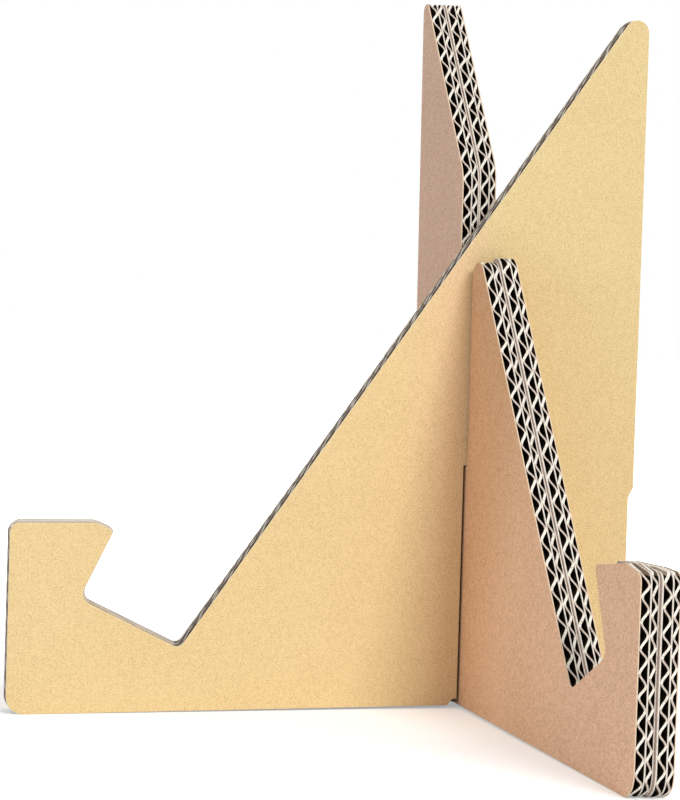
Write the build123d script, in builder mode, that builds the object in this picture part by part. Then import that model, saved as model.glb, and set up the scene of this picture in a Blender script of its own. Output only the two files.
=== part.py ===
from build123d import *
import os
from math import ceil, cos, radians, sin, tan

# Display stand of two slotted panels, each glued up from two boards of double-wall corrugated cardboard.
# Both panels stand on their lower edges. X runs along the left panel from its toe to its heel.
# The origin is on the floor, at the middle of the stand's footprint.

# Both panels, along the base from the toe and up from the floor
step_depth = 1.9
step_height = 79.4
step_run = 4.0
toe_pad = 30.0
heel_pad_setback = 15.2
base_rise = 1.2

# Outline of the left panel: its hook, the notch that the shown object rests in, its peak and back
left_toe_lean = 0.3
left_hook_front = 69.3
left_brow_reach = 31.3
left_brow_height = 69.3
left_tip_reach = 37.8
left_tip_height = 66.4
left_neck_width = 25.8
left_ledge_height = 41.8
left_notch_reach = 62.8
left_notch_height = 23.4
left_peak_reach = 236.4
left_peak_height = 269.6
left_back_lean = 0.4

# Outline of the right panel
right_toe_lean = -0.5
right_hook_front = 71.7
right_brow_reach = 12.0
right_brow_height = 72.1
right_tip_reach = 38.3
right_tip_height = 68.7
right_neck_width = 25.8
right_ledge_height = 41.6
right_notch_reach = 55.9
right_notch_height = 26.1
right_peak_reach = 238.4
right_peak_height = 275.8
right_back_lean = 3.9

# Corner radii
left_toe_radius = 6.5
right_toe_radius = 8.5
hook_front_radius = 3.5
brow_radius = 6.0
tip_radius = 2.0
neck_radius = 4.0
notch_radius = 3.0
left_peak_radius = 4.7
right_peak_radius = 3.5
lobe_radius = 6.5
slot_lead_radius = 14.0

# Crossing slots
crossing = 176.0
crossing_skew = 2.0
slot_seat_height = 91.0
slot_clearance = 0.4
seat_clearance = 0.2
mouth_relief_width = 4.6
mouth_relief_height = 2.4
mouth_relief_angle = 50.0

# Board: liner, wide fluting, liner, narrow fluting, liner
liner = 0.35
wide_height = 3.2
wide_pitch = 7.88
narrow_height = 2.25
narrow_pitch = 6.46
fluting_paper = 0.3
glue_line = 0.4
flute_overrun = 15.0

# How far each panel's second board is set off along the panel, towards the heel
left_board_offset = 1.5
right_board_offset = -1.2

# Where the first crest lies, as a share of the pitch, in each board's wide and narrow fluting
left_first_phases = (0.1, 0.35)
left_second_phases = (0.55, 0.8)
right_first_phases = (0.1, 0.97)
right_second_phases = (0.7, 0.98)

board = 3 * liner + wide_height + narrow_height
panel_thickness = 2 * board + glue_line
skew = radians(crossing_skew)
slot_width = panel_thickness * (1 / cos(skew) + tan(skew)) + 2 * slot_clearance
left_slot_top = slot_seat_height + seat_clearance

left_corners = {
    "toe": (0, 0),
    "hook_front": (left_toe_lean, left_hook_front),
    "brow": (left_brow_reach, left_brow_height),
    "tip": (left_tip_reach, left_tip_height),
    "neck": (left_neck_width, left_ledge_height),
    "notch": (left_notch_reach, left_notch_height),
    "peak": (left_peak_reach, left_peak_height),
    "step_top": (left_peak_reach - left_back_lean, step_height + step_run),
    "step_foot": (left_peak_reach - left_back_lean - step_depth, step_height),
}
right_corners = {
    "toe": (0, 0),
    "hook_front": (right_toe_lean, right_hook_front),
    "brow": (right_brow_reach, right_brow_height),
    "tip": (right_tip_reach, right_tip_height),
    "neck": (right_neck_width, right_ledge_height),
    "notch": (right_notch_reach, right_notch_height),
    "peak": (right_peak_reach, right_peak_height),
    "step_top": (right_peak_reach - right_back_lean, step_height + step_run),
    "step_foot": (right_peak_reach - right_back_lean - step_depth, step_height),
}


def panel_face(corners, toe_radius, peak_radius, offset):
    """A panel's outline without its slot, set off along the base."""
    heel = corners["step_foot"][0]
    base = [(heel, 0), (crossing + heel_pad_setback, 0), (crossing, base_rise), (toe_pad, 0)]
    radii = {
        "toe": toe_radius,
        "hook_front": hook_front_radius,
        "brow": brow_radius,
        "tip": tip_radius,
        "neck": neck_radius,
        "notch": notch_radius,
        "peak": peak_radius,
    }
    with BuildSketch() as face:
        with BuildLine():
            Polyline([(x + offset, z) for x, z in [*corners.values(), *base]], close=True)
        make_face()
        for corner, radius in radii.items():
            x, z = corners[corner]
            fillet(face.vertices().sort_by_distance((x + offset, z, 0))[0], radius)
    return face.sketch


def left_face(offset):
    """Left panel: its slot opens at the base, with a cut-back mouth."""
    with BuildSketch() as face:
        add(panel_face(left_corners, left_toe_radius, left_peak_radius, offset))
        with Locations((crossing, 0)):
            Rectangle(slot_width, left_slot_top, align=(Align.CENTER, Align.MIN), mode=Mode.SUBTRACT)
            Trapezoid(
                slot_width + 2 * mouth_relief_width,
                base_rise + mouth_relief_height,
                mouth_relief_angle,
                align=(Align.CENTER, Align.MIN),
                mode=Mode.SUBTRACT,
            )
    return face.sketch


def slant_height(corners, x):
    """Height of the slanted edge at a distance from the toe."""
    notch_x, notch_z = corners["notch"]
    peak_x, peak_z = corners["peak"]
    return notch_z + (x - notch_x) * (peak_z - notch_z) / (peak_x - notch_x)


def right_face(offset):
    """Right panel: its slot opens at the slanted edge, with rounded lips."""
    with BuildSketch() as face:
        add(panel_face(right_corners, right_toe_radius, right_peak_radius, offset))
        with Locations((crossing, slot_seat_height)):
            Rectangle(slot_width, right_peak_height, align=(Align.CENTER, Align.MIN), mode=Mode.SUBTRACT)
        for side, radius in ((-1, lobe_radius), (1, slot_lead_radius)):
            lip = crossing + side * slot_width / 2
            lip_height = slant_height(right_corners, lip - offset)
            fillet(face.vertices().sort_by_distance((lip, lip_height, 0))[0], radius)
    return face.sketch


def reach(face):
    """How far a panel's outline reaches from the crossing, towards its toe and its heel."""
    box = face.bounding_box()
    return box.min.X - crossing, box.max.X - crossing


# Place of the crossing, so that the footprint is centred on the origin
left_toe_reach, left_heel_reach = reach(left_face(0))
right_toe_reach, right_heel_reach = reach(right_face(0))
crossing_x = -(left_toe_reach + left_heel_reach + left_board_offset) / 2
crossing_y = -(right_toe_reach + right_board_offset + right_heel_reach) / 2 * cos(skew)

left_along = Vector(1, 0, 0)
right_along = Vector(-sin(skew), cos(skew), 0)
crossing_foot = Vector(crossing_x, crossing_y, 0)

# Each plane's X axis runs from the toe to the heel and its Y axis is up.
# The side says on which side of the plane the layers are counted from.
left_plane = Plane(origin=crossing_foot - left_along * crossing, x_dir=left_along, z_dir=(0, -1, 0))
right_plane = Plane(
    origin=crossing_foot - right_along * crossing,
    x_dir=right_along,
    z_dir=(cos(skew), sin(skew), 0),
)


def wave_section(pitch, height, phase):
    """Section of one fluting: its crests meet one liner and its troughs the next."""
    waves = ceil(max(left_peak_height, right_peak_height) / pitch) + 2
    crests = [(wave + phase - 1) * pitch for wave in range(waves)]
    near = []
    far = []
    for crest in crests:
        trough = crest + pitch / 2
        near += [(0, crest), (height - fluting_paper, trough)]
        far += [(fluting_paper, crest), (height, trough)]
    with BuildSketch() as section:
        with BuildLine():
            Polyline(near + far[::-1], close=True)
        make_face()
    return section.sketch


def save(ply, label):
    """Name one finished ply and write it."""
    ply.label = label
    export_step(ply, f"parts/{label}.step")


def liner_ply(plane, side, depth, face, label):
    """One flat liner, from its depth below the panel's counted face."""
    with BuildPart() as ply:
        with BuildSketch(plane.offset(side * (panel_thickness / 2 - depth))):
            add(face)
        extrude(amount=-side * liner)
    save(ply.part, label)


def fluting_ply(plane, side, depth, face, label, section, height):
    """One fluting, its flutes running along the base, cut to the board's outline."""
    outer = plane.offset(side * (panel_thickness / 2 - depth))
    inward = plane.z_dir * -side
    end = Plane(
        origin=outer.origin - plane.x_dir * flute_overrun,
        x_dir=inward,
        z_dir=inward.cross(plane.y_dir),
    )
    run = max(left_peak_reach, right_peak_reach) + 2 * flute_overrun
    with BuildPart() as ply:
        with BuildSketch(end):
            add(section)
        extrude(amount=run, dir=plane.x_dir)
        with BuildSketch(outer):
            add(face)
        extrude(amount=2 * height, both=True, mode=Mode.INTERSECT)
    save(ply.part, label)


def glued_board(name, plane, side, depth, face, phases):
    """One double-wall board of a panel, from its depth below the panel's counted face."""
    wide_depth = depth + liner
    middle_depth = wide_depth + wide_height
    narrow_depth = middle_depth + liner
    back_depth = narrow_depth + narrow_height
    wide = wave_section(wide_pitch, wide_height, phases[0])
    narrow = wave_section(narrow_pitch, narrow_height, phases[1])
    liner_ply(plane, side, depth, face, f"{name}_front_liner")
    fluting_ply(plane, side, wide_depth, face, f"{name}_wide_fluting", wide, wide_height)
    liner_ply(plane, side, middle_depth, face, f"{name}_middle_liner")
    fluting_ply(plane, side, narrow_depth, face, f"{name}_narrow_fluting", narrow, narrow_height)
    liner_ply(plane, side, back_depth, face, f"{name}_back_liner")


os.makedirs("parts", exist_ok=True)
second_depth = board + glue_line
left_second_face = left_face(left_board_offset)
right_second_face = right_face(right_board_offset)
glued_board("left_first_board", left_plane, 1, 0, left_face(0), left_first_phases)
glued_board("left_second_board", left_plane, 1, second_depth, left_second_face, left_second_phases)
glued_board("right_first_board", right_plane, -1, 0, right_face(0), right_first_phases)
glued_board("right_second_board", right_plane, -1, second_depth, right_second_face, right_second_phases)
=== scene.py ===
import bpy, bmesh, math, random
from mathutils import Matrix, Vector


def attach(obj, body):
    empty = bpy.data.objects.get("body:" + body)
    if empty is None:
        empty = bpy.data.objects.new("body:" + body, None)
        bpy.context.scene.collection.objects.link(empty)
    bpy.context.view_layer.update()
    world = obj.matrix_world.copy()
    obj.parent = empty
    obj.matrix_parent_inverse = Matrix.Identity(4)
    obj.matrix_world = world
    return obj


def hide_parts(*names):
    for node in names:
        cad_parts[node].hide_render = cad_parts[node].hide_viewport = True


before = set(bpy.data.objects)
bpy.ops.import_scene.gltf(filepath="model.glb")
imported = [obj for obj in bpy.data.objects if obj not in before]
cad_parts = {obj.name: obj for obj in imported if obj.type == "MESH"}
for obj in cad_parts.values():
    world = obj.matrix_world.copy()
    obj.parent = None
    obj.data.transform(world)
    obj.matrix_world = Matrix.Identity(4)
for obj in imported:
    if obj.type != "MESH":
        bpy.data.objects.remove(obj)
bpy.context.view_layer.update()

# Display stand of two slotted cardboard panels. A panel's own X runs along it from toe to heel, its Y runs
# across it and its Z up. Depths are counted from its first face, the outer one of its first board.

MM = 0.001

# Board: liner, wide fluting, liner, narrow fluting, liner, as cut in the part's source
LINER = 0.35 * MM
WIDE_HEIGHT = 3.2 * MM
WIDE_PITCH = 7.88 * MM
NARROW_HEIGHT = 2.25 * MM
NARROW_PITCH = 6.46 * MM
BOARD = 3 * LINER + WIDE_HEIGHT + NARROW_HEIGHT
GLUE = 0.4 * MM
THICKNESS = 2 * BOARD + GLUE

# Where the panels cross on the floor, how far that is from either toe, and how far off square they stand
CROSSING_FOOT = Vector((57.052, 57.715, 0)) * MM
CROSSING = 176 * MM
SKEW = math.radians(2)

# Paper as it looks at the cut edges: the fluting's thickness, the share of it that the thinner legs keep,
# and how much the liners swell into the flutes and into the glue
FLUTING_PAPER = 0.88 * MM
THIN_LEG = 0.74
LINER_SWELL = 0.1 * MM
GLUED_SWELL = 0.1 * MM

# How far the cut edges are worn round, inside the panel and on its two outer faces, and how far the glue
# stays back from them
WORN_EDGE = 0.07 * MM
WORN_OUTER_EDGE = 0.30 * MM
GLUE_SETBACK = 0.06 * MM

# Waves of a fluting: steps in each, roundness from 0, a zigzag, to 1, a sine, and how far each half wave
# may drift, as a share of the pitch
WAVE_STEPS = 12
WAVE_ROUNDNESS = 0.85
WAVE_DRIFT = 0.06

# How quickly a leg's thickness changes at the bends
LEG_CHANGE = 1.5

# A fluting starts as a sheet larger than any panel, and is cut by a block that is deeper than it
SHEET_RUN = 245 * MM
SHEET_HEIGHT = 280 * MM
SHEET_OVERRUN = 6 * MM
BLOCK_MARGIN = 1 * MM

# In a solid's mesh, corners closer than this are one, and faces that bend less than this are one flat face
SAME_CORNER = 0.001 * MM
SAME_FACE = math.radians(0.5)

# How far a face turns to the panel's side, from 0 to 1: the most on a cut edge, the least on a flat side,
# and the least at which a worn edge has the flat side's finish
CUT_EDGE = 0.1
FLAT_SIDE = 0.9
SIDE_FINISH = 0.95

# The hook tops of the right panel's boards rise a little more than in the solids: by how much, and from
# where to where along the panel
HOOK_ZONE_REACH = 45 * MM
HOOK_ZONE_HEIGHT = 60 * MM
HOOK_LIFTS = {
    "right_first_board": (1.1 * MM, 5 * MM, 13 * MM),
    "right_second_board": (2.6 * MM, 12 * MM, 38 * MM),
}

# The flutes lie open along the hook tops: up to this far along the panel, above this height
HOOK_TOPS = {"left": (40 * MM, 67.6 * MM), "right": (40 * MM, 70.4 * MM)}


def panel_place(along, side):
    """Where a panel's own coordinates lie: at its toe on the floor, in its first face."""
    across = Vector((-along.y, along.x, 0))
    toe = CROSSING_FOOT - along * CROSSING - across * side * THICKNESS / 2
    return Matrix((
        (along.x, across.x, 0, toe.x),
        (along.y, across.y, 0, toe.y),
        (0, 0, 1, 0),
        (0, 0, 0, 1),
    ))


# The side is the sign that a panel's own Y has at any depth, and the turn lays the panel's run along X
LEFT_ALONG = Vector((1, 0, 0))
RIGHT_ALONG = Vector((-math.sin(SKEW), math.cos(SKEW), 0))
PANELS = {
    "left": {"side": 1, "place": panel_place(LEFT_ALONG, 1), "turn": 0.0},
    "right": {"side": -1, "place": panel_place(RIGHT_ALONG, -1), "turn": -math.pi / 2 - SKEW},
}

# Each board's depth, and where the first crest of its wide and its narrow fluting lies, as a share of the
# pitch
BOARDS = {
    ("left", "first"): (0.0, (0.10, 0.35)),
    ("left", "second"): (BOARD + GLUE, (0.55, 0.80)),
    ("right", "first"): (0.0, (0.10, 0.97)),
    ("right", "second"): (BOARD + GLUE, (0.70, 0.98)),
}


# Parts of the paper finishes

def new_finish(name, specular, roughness):
    """A material with its node tree and its shader."""
    finish = bpy.data.materials.new(name)
    finish.use_nodes = True
    shader = finish.node_tree.nodes["Principled BSDF"]
    shader.inputs["Specular IOR Level"].default_value = specular
    shader.inputs["Roughness"].default_value = roughness
    return finish, finish.node_tree, shader


def panel_coordinates(tree, turn, stretch):
    """Coordinates along, across and up the panel. A stretch under 1 draws a pattern out along its run."""
    place = tree.nodes.new("ShaderNodeTexCoord")
    turned = tree.nodes.new("ShaderNodeMapping")
    turned.inputs["Rotation"].default_value = (0, 0, turn)
    drawn = tree.nodes.new("ShaderNodeMapping")
    drawn.inputs["Scale"].default_value = (stretch, 1, 1)
    tree.links.new(place.outputs["Object"], turned.inputs["Vector"])
    tree.links.new(turned.outputs["Vector"], drawn.inputs["Vector"])
    return drawn.outputs["Vector"]


def split_coordinates(tree, vector):
    parts = tree.nodes.new("ShaderNodeSeparateXYZ")
    tree.links.new(vector, parts.inputs["Vector"])
    return parts.outputs


def noise(tree, vector, scale, detail, roughness):
    texture = tree.nodes.new("ShaderNodeTexNoise")
    texture.inputs["Scale"].default_value = scale
    texture.inputs["Detail"].default_value = detail
    texture.inputs["Roughness"].default_value = roughness
    tree.links.new(vector, texture.inputs["Vector"])
    return texture.outputs["Fac"]


def times_plus(tree, value, factor, addend):
    """A value times a factor, plus a number or another value."""
    step = tree.nodes.new("ShaderNodeMath")
    step.operation = "MULTIPLY_ADD"
    step.inputs[1].default_value = factor
    tree.links.new(value, step.inputs[0])
    if isinstance(addend, float):
        step.inputs[2].default_value = addend
    else:
        tree.links.new(addend, step.inputs[2])
    return step.outputs[0]


def sum_of(tree, terms, start):
    """Start plus each term's weight times how far it lies from a half."""
    total = start - sum(weight for _, weight in terms) / 2
    for source, weight in terms:
        total = times_plus(tree, source, weight, total)
    return total


def ramp(tree, factor, stops):
    colours = tree.nodes.new("ShaderNodeValToRGB")
    band = colours.color_ramp
    while len(band.elements) < len(stops):
        band.elements.new(0.5)
    for element, (position, colour) in zip(band.elements, stops):
        element.position = position
        element.color = (*colour, 1)
    tree.links.new(factor, colours.inputs["Fac"])
    return colours.outputs["Color"]


def tinted(tree, colour, tint):
    """One colour multiplied by another."""
    mixed = tree.nodes.new("ShaderNodeMix")
    mixed.data_type = "RGBA"
    mixed.blend_type = "MULTIPLY"
    mixed.inputs["Factor"].default_value = 1.0
    tree.links.new(colour, mixed.inputs["A"])
    tree.links.new(tint, mixed.inputs["B"])
    return mixed.outputs["Result"]


def bump(tree, shader, height, distance, strength):
    relief = tree.nodes.new("ShaderNodeBump")
    relief.inputs["Distance"].default_value = distance
    relief.inputs["Strength"].default_value = strength
    tree.links.new(height, relief.inputs["Height"])
    tree.links.new(relief.outputs["Normal"], shader.inputs["Normal"])


def shade(colour, factor):
    return tuple(min(1.0, channel * factor) for channel in colour)


# Paper finishes

WHITE = (1, 1, 1)
CREAM = (0.97, 0.92, 0.82)
FLUTE_SHADE = (0.035, 0.024, 0.017)
LIT_FLUTE_SHADE = (0.12, 0.09, 0.07)
GLUE_BROWN = (0.46, 0.34, 0.28)
FACE_FLECK = (0.80, 0.74, 0.66)
EDGE_FLECK = (0.78, 0.72, 0.66)
KRAFT_ROUGHNESS = 0.82
CUT_ROUGHNESS = 0.95

# How much darker and lighter than its own colour the grain of a face gets, in red, green and blue
GRAIN_DARKER = (0.14, 0.18, 0.24)
GRAIN_LIGHTER = (0.10, 0.12, 0.18)

# Outer faces: colour, contrast of the grain, and painted shading that tints the colour along the panel. On
# the left panel it is painted shade beside and beyond the crossing; on the right panel it is painted shade
# that grows toward the crossing and with height, and a painted cool light on the part behind the crossing.
# A painted shading's place is the distance from the origin along the panel, plus the rise times the
# height.
PAINTED_SHADING_START = -0.12
PAINTED_SHADING_END = 0.20
FACES = {
    "left": {
        "colour": (0.868, 0.657, 0.352),
        "contrast": 1.0,
        "rise": 0.0,
        "painted_shading": [
            (-0.12, (1, 1, 0.95)),
            (0.025, (1, 1, 0.96)),
            (0.046, (0.98, 0.92, 1)),
            (0.062, (0.89, 0.91, 0.86)),
        ],
    },
    "right": {
        # Partly the kraft's own colour and partly painted warm bounce light, which makes it redder than
        # the left panel's
        "colour": (0.885, 0.572, 0.39),
        "contrast": 1.3,
        "rise": 0.5,
        "painted_shading": [
            (-0.06, WHITE),
            (0.02, (0.97, 0.96, 0.92)),
            (0.07, (0.83, 0.77, 0.66)),
            (0.13, (0.76, 0.69, 0.58)),
            (0.155, (0.85, 0.89, 0.97)),
        ],
    },
}
# Cut and glued paper, by panel
OUTER_RIMS = {"left": (0.94, 0.80, 0.55), "right": (0.88, 0.68, 0.48)}
PALE_RIMS = {"left": (0.62, 0.53, 0.45), "right": (0.84, 0.76, 0.66)}
GLUED_FACES = {"left": (0.80, 0.68, 0.56), "right": (0.60, 0.47, 0.40)}
OPEN_FLUTES = {"left": (0.94, 0.89, 0.79), "right": (0.60, 0.46, 0.34)}
# Painted shade on the fluting legs that lean back, by panel: their cut edges get this colour in place of
# the cream
LEG_SHADE_COLOURS = {"left": (0.31, 0.245, 0.20), "right": (0.70, 0.60, 0.52)}


def kraft_face(name, turn, colour, contrast, rise, painted_shading):
    """Smooth side of an outer liner: mottled brown kraft with short fibres and the odd darker fleck."""
    finish, tree, shader = new_finish(name, specular=0.18, roughness=KRAFT_ROUGHNESS)
    flat = panel_coordinates(tree, turn, stretch=1.0)
    drawn = panel_coordinates(tree, turn, stretch=0.75)
    cloud = noise(tree, flat, scale=30, detail=2, roughness=0.55)
    mottle = noise(tree, flat, scale=620, detail=2, roughness=0.6)
    fibre = noise(tree, drawn, scale=1900, detail=2, roughness=0.6)
    grain = sum_of(tree, [(cloud, 0.3), (mottle, 0.8), (fibre, 2.6)], start=0.5)
    dark = [c * (1 - contrast * share) for c, share in zip(colour, GRAIN_DARKER)]
    light = [min(1, c * (1 + contrast * share)) for c, share in zip(colour, GRAIN_LIGHTER)]
    paper = ramp(tree, grain, [(0.0, dark), (0.5, colour), (1.0, light)])

    fleck = noise(tree, drawn, scale=2100, detail=2, roughness=0.5)
    paper = tinted(tree, paper, ramp(tree, fleck, [(0.25, FACE_FLECK), (0.32, WHITE)]))

    # Painted shade and painted light: the face's colour tinted along the panel, and with height where it
    # rises
    parts = split_coordinates(tree, flat)
    reach = tree.nodes.new("ShaderNodeMapRange")
    reach.inputs["From Min"].default_value = PAINTED_SHADING_START
    reach.inputs["From Max"].default_value = PAINTED_SHADING_END
    tree.links.new(times_plus(tree, parts["Z"], rise, parts["X"]), reach.inputs["Value"])
    span = PAINTED_SHADING_END - PAINTED_SHADING_START
    painted_tint = ramp(tree, reach.outputs["Result"], [((x - PAINTED_SHADING_START) / span, tint) for x, tint in painted_shading])
    tree.links.new(tinted(tree, paper, painted_tint), shader.inputs["Base Color"])

    matte = sum_of(tree, [(mottle, 0.2), (fibre, 0.15)], start=KRAFT_ROUGHNESS)
    tree.links.new(matte, shader.inputs["Roughness"])
    bump(tree, shader, grain, distance=0.04 * MM, strength=0.5)
    return finish


def cut_paper(name, turn, colour, depth):
    """Cut or glued paper, whose fibres darken down to the depth's share of its colour."""
    finish, tree, shader = new_finish(name, specular=0.1, roughness=CUT_ROUGHNESS)
    vector = panel_coordinates(tree, turn, stretch=1.0)
    torn = noise(tree, vector, scale=900, detail=3, roughness=0.6)
    fibre = noise(tree, vector, scale=4200, detail=2, roughness=0.6)
    grain = sum_of(tree, [(torn, 1.3), (fibre, 0.7)], start=0.55)
    paper = ramp(tree, grain, [(0.0, shade(colour, depth)), (0.5, colour), (1.0, shade(colour, 1.08))])
    tree.links.new(paper, shader.inputs["Base Color"])
    bump(tree, shader, grain, distance=0.08 * MM, strength=0.6)
    return finish


def shaded_paper(name, turn, colour):
    """Paper inside the flutes, where little light reaches."""
    finish, tree, shader = new_finish(name, specular=0.05, roughness=CUT_ROUGHNESS)
    vector = panel_coordinates(tree, turn, stretch=0.2)
    fibre = noise(tree, vector, scale=900, detail=3, roughness=0.6)
    paper = ramp(tree, fibre, [(0.3, shade(colour, 0.7)), (0.7, shade(colour, 1.3))])
    tree.links.new(paper, shader.inputs["Base Color"])
    bump(tree, shader, fibre, distance=0.05 * MM, strength=0.4)
    return finish


def fluting_edge(name, pitch, phase, leg_shade):
    """Cut edge of a fluting. The legs that lean back catch less light and look greyer."""
    finish, tree, shader = new_finish(name, specular=0.1, roughness=CUT_ROUGHNESS)
    place = tree.nodes.new("ShaderNodeTexCoord").outputs["Object"]
    waves = times_plus(tree, split_coordinates(tree, place)["Z"], 1 / pitch, 1.0 - phase)
    part = tree.nodes.new("ShaderNodeMath")
    part.operation = "FRACT"
    tree.links.new(waves, part.inputs[0])
    legs = ramp(tree, part.outputs[0], [(0.0, CREAM), (0.45, CREAM), (0.56, leg_shade), (0.94, leg_shade)])
    torn = noise(tree, place, scale=1100, detail=3, roughness=0.6)
    worn = ramp(tree, torn, [(0.34, EDGE_FLECK), (0.54, WHITE)])
    tree.links.new(tinted(tree, legs, worn), shader.inputs["Base Color"])
    bump(tree, shader, torn, distance=0.08 * MM, strength=0.6)
    return finish


finishes = {}
for panel, data in PANELS.items():
    turn = data["turn"]
    finishes[panel] = {
        "face": kraft_face(f"{panel}_kraft_face", turn, **FACES[panel]),
        "outer_rim": cut_paper(f"{panel}_outer_rim", turn, OUTER_RIMS[panel], depth=0.85),
        "rim": cut_paper(f"{panel}_liner_rim", turn, PALE_RIMS[panel], depth=0.6),
        "glued_face": cut_paper(f"{panel}_glued_face", turn, GLUED_FACES[panel], depth=0.75),
        "inside": shaded_paper(f"{panel}_flute_inside", turn, FLUTE_SHADE),
        "lit_inside": shaded_paper(f"{panel}_lit_flute_inside", turn, LIT_FLUTE_SHADE),
        "open_flute": cut_paper(f"{panel}_open_flute", turn, OPEN_FLUTES[panel], depth=0.75),
        "glue": cut_paper(f"{panel}_glue", turn, GLUE_BROWN, depth=0.5),
    }


# Pieces

def lift_hook_top(shape, node):
    """Raise a board's hook top a little, the more the further along the panel."""
    for board, (lift, start, end) in HOOK_LIFTS.items():
        if node.startswith(board):
            for vert in shape.verts:
                if vert.co.x < HOOK_ZONE_REACH and vert.co.z > HOOK_ZONE_HEIGHT:
                    vert.co.z += lift * min(1, max(0, (vert.co.x - start) / (end - start)))


def merged_copy(node, place):
    """A liner's own mesh with its triangles joined up, in its panel's coordinates."""
    shape = bmesh.new()
    shape.from_mesh(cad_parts[node].data)
    bmesh.ops.remove_doubles(shape, verts=shape.verts, dist=SAME_CORNER)
    bmesh.ops.dissolve_limit(
        shape, angle_limit=SAME_FACE, use_dissolve_boundaries=False,
        verts=shape.verts, edges=shape.edges, delimit=set(),
    )
    bmesh.ops.transform(shape, matrix=place.inverted(), verts=shape.verts)
    lift_hook_top(shape, node)
    return shape


def set_depths(shape, side, near, far):
    """Move the two flat sides of a liner's shape to these depths."""
    middle = sum(vert.co.y for vert in shape.verts) / len(shape.verts)
    for vert in shape.verts:
        nearer = side * vert.co.y < side * middle
        vert.co.y = side * (near if nearer else far)


def new_piece(name, shape, materials):
    mesh = bpy.data.meshes.new(name)
    shape.to_mesh(mesh)
    shape.free()
    piece = bpy.data.objects.new(name, mesh)
    bpy.context.collection.objects.link(piece)
    for material in materials:
        mesh.materials.append(material)
    return piece


def outline_block(node, panel, near, far, edge_finish, drawn_in=0.0):
    """A block with a board's outline, from one depth to another, its cut edges all drawn in by as much."""
    shape = merged_copy(node, PANELS[panel]["place"])
    shape.normal_update()
    # Moved by its pull, a corner takes both cut edges that meet there one unit out
    pulls = {}
    for vert in shape.verts:
        outward = [face.normal.copy() for face in vert.link_faces if abs(face.normal.y) < CUT_EDGE]
        total = sum(outward, Vector())
        pulls[vert] = total * 2 / total.length_squared if total.length > 0 else total
    for vert, pull in pulls.items():
        vert.co -= pull * drawn_in
    set_depths(shape, PANELS[panel]["side"], near, far)
    return new_piece(f"block_{node}", shape, [edge_finish])


def cut_to_outline(piece, block):
    """Keep what of a piece lies in the block, with the block's finish on the cut faces."""
    cut = piece.modifiers.new("outline", "BOOLEAN")
    cut.operation = "INTERSECT"
    cut.solver = "EXACT"
    cut.material_mode = "TRANSFER"
    cut.object = block
    shown = bpy.context.evaluated_depsgraph_get()
    mesh = bpy.data.meshes.new_from_object(piece.evaluated_get(shown))
    old = piece.data
    piece.modifiers.clear()
    piece.data = mesh
    bpy.data.meshes.remove(old)
    spent = block.data
    bpy.data.objects.remove(block)
    bpy.data.meshes.remove(spent)


def seat(piece, panel, node):
    """Put a finished piece in its panel's place, standing for its CAD node if it has one."""
    piece.data.transform(PANELS[panel]["place"])
    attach(piece, "root")
    if node:
        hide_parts(node)


def in_hook_top(point, panel):
    reach, below = HOOK_TOPS[panel]
    return point.x < reach and point.z > below


def wear_outline(shape, on_worn_side, worn, segments):
    """Round a liner's outline along the flat sides that the test picks."""
    outline = [
        edge for edge in shape.edges
        if len(edge.link_faces) == 2
        and min(abs(face.normal.y) for face in edge.link_faces) < CUT_EDGE
        and any(on_worn_side(face.normal.y) for face in edge.link_faces)
    ]
    if outline:
        bmesh.ops.bevel(
            shape, geom=outline, offset=worn, offset_type="OFFSET", segments=segments,
            profile=0.5, affect="EDGES", material=-1, clamp_overlap=True,
        )
        shape.normal_update()


# The order of a liner's finishes
FACE, RIM, INSIDE, OPEN_FLUTE, GLUED_FACE = range(5)


def liner_sheet(node, panel, near, far, rim, inside, outer_face=0, glued_face=0):
    """One liner between two depths, its cut edges softly worn.

    A side that is an outer face of the panel, or is glued, is told by -1 if near and by 1 if far."""
    side = PANELS[panel]["side"]
    shape = merged_copy(node, PANELS[panel]["place"])
    set_depths(shape, side, near, far)
    shape.normal_update()
    wear_outline(shape, lambda across: side * across * outer_face > FLAT_SIDE, WORN_OUTER_EDGE, segments=3)
    wear_outline(
        shape, lambda across: abs(across) > FLAT_SIDE and side * across * outer_face <= 0,
        WORN_EDGE, segments=2,
    )
    bmesh.ops.bisect_plane(
        shape, geom=shape.verts[:] + shape.edges[:] + shape.faces[:],
        plane_co=(0, 0, HOOK_TOPS[panel][1]), plane_no=(0, 0, 1),
    )
    for face in shape.faces:
        across = side * face.normal.y
        if abs(across) < SIDE_FINISH:
            face.material_index = RIM
        elif across * outer_face > 0:
            face.material_index = FACE
        elif across * glued_face > 0:
            face.material_index = GLUED_FACE
        elif in_hook_top(face.calc_center_median(), panel):
            face.material_index = OPEN_FLUTE
        else:
            face.material_index = INSIDE
    kit = finishes[panel]
    papers = [kit["face"], kit[rim], kit[inside], kit["open_flute"], kit["glued_face"]]
    piece = new_piece(f"{node}_paper", shape, papers)
    seat(piece, panel, node)


def rounded_wave(turns, roundness):
    """From 0 at a crest to 1 at a trough and back, with rounded crests and straighter legs."""
    part = turns % 1
    legs = 1 - abs(2 * part - 1)
    smooth = (1 - math.cos(2 * math.pi * part)) / 2
    return legs + (smooth - legs) * roundness


def leg_weight(turns):
    """1 along the legs that keep their full thickness, 0 along the thinner ones, changing at the bends."""
    return min(1, max(0, 0.5 + LEG_CHANGE * math.sin(2 * math.pi * turns)))


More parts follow.
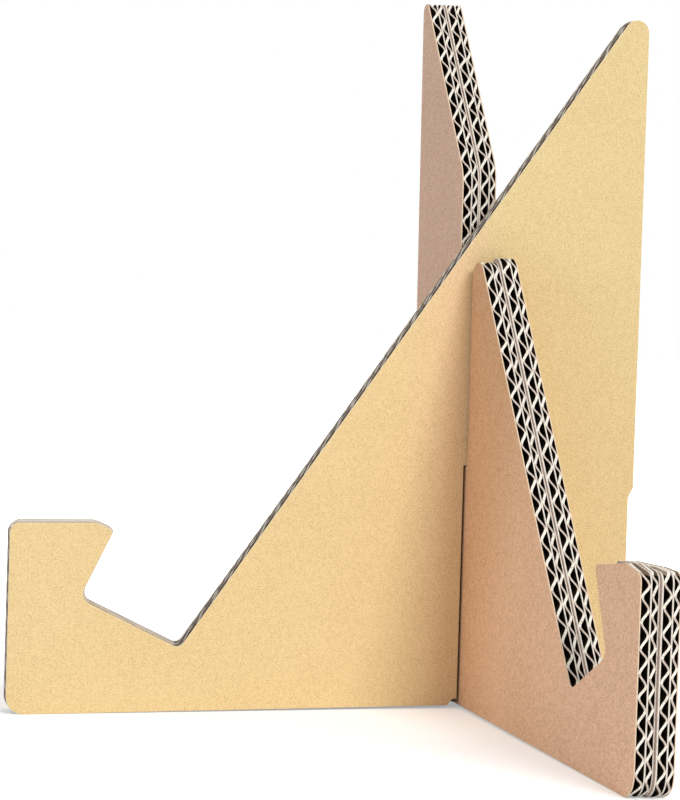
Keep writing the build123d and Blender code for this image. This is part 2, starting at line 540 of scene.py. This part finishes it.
def wave_sheet(panel, depth, height, pitch, phase, chance):
    """A fluting's sheet in rounded, slightly uneven waves, with no thickness yet."""
    side = PANELS[panel]["side"]
    waves = math.ceil(SHEET_HEIGHT / pitch) + 1
    shifts = [chance.uniform(-WAVE_DRIFT, WAVE_DRIFT) * pitch for _ in range(2 * waves + 2)]
    shape = bmesh.new()
    bmesh.ops.create_grid(shape, x_segments=1, y_segments=waves * WAVE_STEPS, size=0.5)
    for vert in shape.verts:
        turns = (vert.co.y + 0.5) * waves
        half = min(int(turns * 2), 2 * waves)
        blend = turns * 2 - half
        shift = shifts[half] * (1 - blend) + shifts[half + 1] * blend
        run = -SHEET_OVERRUN if vert.co.x < 0 else SHEET_RUN + SHEET_OVERRUN
        swing = (height - FLUTING_PAPER) * rounded_wave(turns, WAVE_ROUNDNESS)
        vert.co = (run, side * (depth + FLUTING_PAPER / 2 + swing), pitch * (turns + phase - 1) + shift)
    return shape


def fluting_sheet(node, panel, liner_node, depth, height, pitch, phase, inside):
    """One fluting, its paper thinner along every other leg, cut to its board's outline."""
    kit = finishes[panel]
    shape = wave_sheet(panel, depth, height, pitch, phase, random.Random(node))
    weights = [leg_weight(vert.co.z / pitch + 1 - phase) for vert in shape.verts]
    piece = new_piece(f"{node}_paper", shape, [kit[inside]])
    group = piece.vertex_groups.new(name="leg_weight")
    for index, weight in enumerate(weights):
        group.add([index], weight, "REPLACE")
    paper = piece.modifiers.new("paper", "SOLIDIFY")
    paper.vertex_group = group.name
    paper.thickness_vertex_group = THIN_LEG
    paper.thickness = FLUTING_PAPER
    paper.offset = 0
    paper.use_even_offset = True
    edge = fluting_edge(f"{node}_edge", pitch, phase, LEG_SHADE_COLOURS[panel])
    near, far = depth - BLOCK_MARGIN, depth + height + BLOCK_MARGIN
    block = outline_block(liner_node, panel, near, far, edge)
    cut_to_outline(piece, block)
    piece.data.materials.append(kit["open_flute"])
    for face in piece.data.polygons:
        if face.material_index == 0 and in_hook_top(face.center, panel):
            face.material_index = len(piece.data.materials) - 1
    seat(piece, panel, node)


def glue_line(panel):
    """The thin glue layer that holds a panel's two boards together, a little short of the cut edges."""
    glue = finishes[panel]["glue"]
    first_liner = f"{panel}_first_board_back_liner"
    second_liner = f"{panel}_second_board_back_liner"
    near, far = BOARD, BOARD + GLUE
    piece = outline_block(first_liner, panel, near, far, glue, GLUE_SETBACK)
    piece.name = piece.data.name = f"{panel}_glue_line"
    near, far = near - BLOCK_MARGIN, far + BLOCK_MARGIN
    block = outline_block(second_liner, panel, near, far, glue, GLUE_SETBACK)
    cut_to_outline(piece, block)
    seat(piece, panel, None)


def board_papers(panel, board, depth, phases):
    """The five papers of one board. Some light reaches into the flutes of the left panel's first board."""
    name = f"{panel}_{board}_board"
    inside = "lit_inside" if (panel, board) == ("left", "first") else "inside"
    front_liner = f"{name}_front_liner"
    back_liner = f"{name}_back_liner"
    wide_depth = depth + LINER
    middle_depth = wide_depth + WIDE_HEIGHT
    narrow_depth = middle_depth + LINER
    back_depth = narrow_depth + NARROW_HEIGHT
    front_end = wide_depth + LINER_SWELL
    back_end = back_depth + LINER
    if board == "first":
        liner_sheet(front_liner, panel, depth, front_end, "outer_rim", inside, outer_face=-1)
        liner_sheet(back_liner, panel, back_depth, back_end + GLUED_SWELL, "rim", inside, glued_face=1)
    else:
        back_start = back_depth - LINER_SWELL
        liner_sheet(front_liner, panel, depth - GLUED_SWELL, front_end, "rim", inside, glued_face=-1)
        liner_sheet(back_liner, panel, back_start, back_end, "outer_rim", inside, outer_face=1)
    middle_start = middle_depth - LINER_SWELL
    middle_end = narrow_depth + LINER_SWELL
    liner_sheet(f"{name}_middle_liner", panel, middle_start, middle_end, "rim", inside)
    flutings = {
        "wide_fluting": (wide_depth, WIDE_HEIGHT, WIDE_PITCH, phases[0]),
        "narrow_fluting": (narrow_depth, NARROW_HEIGHT, NARROW_PITCH, phases[1]),
    }
    for fluting, measures in flutings.items():
        fluting_sheet(f"{name}_{fluting}", panel, front_liner, *measures, inside)


for (panel, board), (depth, phases) in BOARDS.items():
    board_papers(panel, board, depth, phases)
for panel in PANELS:
    glue_line(panel)


# Floor

FLOOR_REACH = 4
FLOOR_GREY = (0.9, 0.9, 0.9, 1)

# How brightly the floor itself glows to the eye, near the stand and away from it, and where that changes
GLOW_NEAR = 0.36
GLOW_AWAY = 1.0
GLOW_CHANGE_START = 0.15
GLOW_CHANGE_END = 0.6


def floor_finish():
    """Pale floor that turns white away from the stand, and keeps the stand's shadow."""
    finish, tree, shader = new_finish("floor_white", specular=0.1, roughness=0.9)
    shader.inputs["Base Color"].default_value = FLOOR_GREY
    seen = tree.nodes.new("ShaderNodeLightPath")
    seen_by = tree.nodes.new("ShaderNodeMath")
    seen_by.operation = "MAXIMUM"
    tree.links.new(seen.outputs["Is Camera Ray"], seen_by.inputs[0])
    tree.links.new(seen.outputs["Is Glossy Ray"], seen_by.inputs[1])
    place = tree.nodes.new("ShaderNodeTexCoord")
    reach = tree.nodes.new("ShaderNodeVectorMath")
    reach.operation = "LENGTH"
    tree.links.new(place.outputs["Object"], reach.inputs[0])
    fade = tree.nodes.new("ShaderNodeMapRange")
    fade.interpolation_type = "SMOOTHSTEP"
    fade.inputs["From Min"].default_value = GLOW_CHANGE_START
    fade.inputs["From Max"].default_value = GLOW_CHANGE_END
    fade.inputs["To Min"].default_value = GLOW_NEAR
    fade.inputs["To Max"].default_value = GLOW_AWAY
    tree.links.new(reach.outputs["Value"], fade.inputs["Value"])
    lift = tree.nodes.new("ShaderNodeMath")
    lift.operation = "MULTIPLY"
    tree.links.new(seen_by.outputs[0], lift.inputs[0])
    tree.links.new(fade.outputs["Result"], lift.inputs[1])
    shader.inputs["Emission Color"].default_value = (*WHITE, 1)
    tree.links.new(lift.outputs[0], shader.inputs["Emission Strength"])
    return finish


def studio_floor():
    shape = bmesh.new()
    bmesh.ops.create_grid(shape, x_segments=1, y_segments=1, size=FLOOR_REACH)
    floor = new_piece("floor", shape, [floor_finish()])


# Light and camera

# Strength of the light from all round, and where the softboxes aim
WORLD_LIGHT = 0.45
STAND_MIDDLE = (0.0, 0.0, 0.12)
STAND_UPPER_PART = (0.0, 0.0, 0.15)

# The camera's angles are in radians, and its focal length is in pixels of a picture of this height
CAMERA_PLACE = (-0.22378, -0.85417, 0.16150)
CAMERA_TURN = -0.2439
CAMERA_TILT = -0.0499
CAMERA_ROLL = 0.0279
FOCAL_PIXELS = 2539.7
PICTURE_HEIGHT = 800
SENSOR_MM = 36


def studio_world():
    """Soft white light from all round, which looks pure white behind the stand."""
    world = bpy.data.worlds.new("studio")
    bpy.context.scene.world = world
    world.use_nodes = True
    tree = world.node_tree
    sky = tree.nodes["Background"]
    sky.inputs["Color"].default_value = (*WHITE, 1)
    seen = tree.nodes.new("ShaderNodeLightPath")
    level = tree.nodes.new("ShaderNodeMix")
    level.data_type = "FLOAT"
    level.inputs["A"].default_value = WORLD_LIGHT
    level.inputs["B"].default_value = 1.0
    tree.links.new(seen.outputs["Is Camera Ray"], level.inputs["Factor"])
    tree.links.new(level.outputs["Result"], sky.inputs["Strength"])


def softbox(name, place, aim, size, power):
    light = bpy.data.lights.new(name, "AREA")
    light.shape = "SQUARE"
    light.size = size
    light.energy = power
    lamp = bpy.data.objects.new(name, light)
    bpy.context.collection.objects.link(lamp)
    lamp.location = place
    lamp.rotation_euler = (Vector(aim) - Vector(place)).to_track_quat("-Z", "Y").to_euler()


def studio_camera():
    camera = bpy.data.objects.new("camera", bpy.data.cameras.new("camera"))
    bpy.context.collection.objects.link(camera)
    camera.data.sensor_width = SENSOR_MM
    camera.data.lens = FOCAL_PIXELS * SENSOR_MM / PICTURE_HEIGHT
    camera.matrix_world = (
        Matrix.Translation(CAMERA_PLACE)
        @ Matrix.Rotation(CAMERA_TURN, 4, "Z")
        @ Matrix.Rotation(math.pi / 2 + CAMERA_TILT, 4, "X")
        @ Matrix.Rotation(CAMERA_ROLL, 4, "Z")
    )
    bpy.context.scene.camera = camera


studio_floor()
studio_world()
softbox("key_light", place=(0.80, -2.30, 1.72), aim=STAND_MIDDLE, size=1.0, power=47.5)
softbox("fill_light", place=(-2.6, -0.3, 1.0), aim=STAND_MIDDLE, size=1.4, power=10)
softbox("back_light", place=(1.8, 2.2, 1.5), aim=STAND_UPPER_PART, size=1.8, power=20)
studio_camera()
bpy.context.scene.view_settings.view_transform = "Standard"
